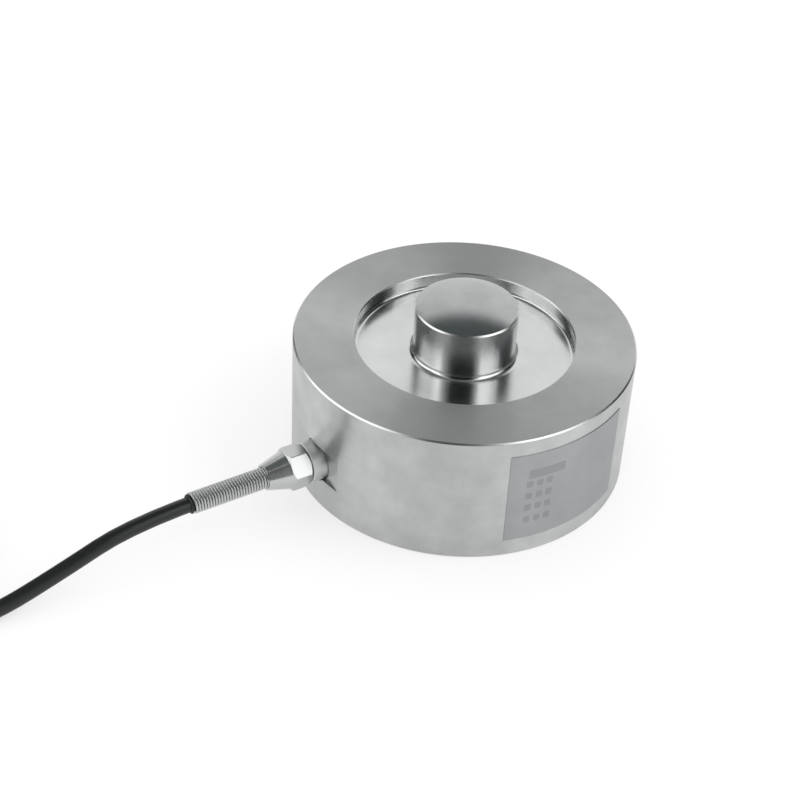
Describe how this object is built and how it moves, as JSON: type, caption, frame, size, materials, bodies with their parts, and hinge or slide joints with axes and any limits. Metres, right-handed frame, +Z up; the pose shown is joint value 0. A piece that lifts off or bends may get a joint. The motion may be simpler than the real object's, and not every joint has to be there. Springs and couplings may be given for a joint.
{
  "type": "pancake load cell",
  "caption": "Low-profile stainless compression load cell with a domed centre boss, a side cable gland with a strain relief spring, and a coiled cable",
  "frame": {"origin": "centre of the base bolt circle, on the base ring's lower face", "axes": "+Z up along the loading axis, -X along the cable gland, -Y towards the nameplate"},
  "size_m": [0.3144, 0.1466, 0.0627],
  "materials": {
    "stainless_body": "fine turned and satin",
    "stainless_sheet": "cold rolled satin",
    "stainless_gland": "turned and polished",
    "spring_wire": "drawn wire",
    "nameplate_foil": "satin foil",
    "seal_rubber": "moulded",
    "cable_jacket": "extruded",
    "gauge_foil": "amber film with foil grid",
    "board_laminate": "solder resist",
    "standoff_nylon": "turned",
    "resistor_ceramic": "chip",
    "lead_copper": "enamelled copper",
    "potting_resin": "cast epoxy",
    "tie_nylon": "moulded",
    "shrink_sleeve": "shrunk tube",
    "tinned_copper": "tinned strands",
    "core_red": "extruded",
    "core_black": "extruded",
    "core_green": "extruded",
    "core_white": "extruded"
  },
  "bodies": {
    "root": {"sensing_body": "stainless_body", "bottom_cover": "stainless_sheet", "nameplate": "nameplate_foil", "gland_body": "stainless_gland", "gland_sealing_ring": "seal_rubber", "cable_seal": "seal_rubber", "clamp_washer": "stainless_gland", "gland_nut": "stainless_gland", "strain_relief_spring": "spring_wire", "spring_end_ring": "seal_rubber", "cable_in_gland": "cable_jacket", "core_potting": "potting_resin", "inner_strain_gauge_1": "gauge_foil", "inner_strain_gauge_2": "gauge_foil", "inner_strain_gauge_3": "gauge_foil", "inner_strain_gauge_4": "gauge_foil", "outer_strain_gauge_1": "gauge_foil", "outer_strain_gauge_2": "gauge_foil", "outer_strain_gauge_3": "gauge_foil", "outer_strain_gauge_4": "gauge_foil", "wiring_board": "board_laminate", "board_standoff_1": "standoff_nylon", "board_standoff_2": "standoff_nylon", "board_standoff_3": "standoff_nylon", "board_standoff_4": "standoff_nylon", "trim_resistor_1": "resistor_ceramic", "trim_resistor_2": "resistor_ceramic", "trim_resistor_3": "resistor_ceramic", "trim_resistor_4": "resistor_ceramic", "inner_gauge_leads": "lead_copper", "outer_gauge_leads": "lead_copper", "red_inner_core": "core_red", "black_inner_core": "core_black", "green_inner_core": "core_green", "white_inner_core": "core_white", "cable_run": "cable_jacket", "cable_coil": "cable_jacket", "coil_tie_1": "tie_nylon", "coil_tie_2": "tie_nylon", "cable_end_sleeve": "shrink_sleeve", "red_core_end": "core_red", "black_core_end": "core_black", "green_core_end": "core_green", "white_core_end": "core_white", "drain_wire": "tinned_copper", "tinned_tips": "tinned_copper"}
  },
  "joints": []
}
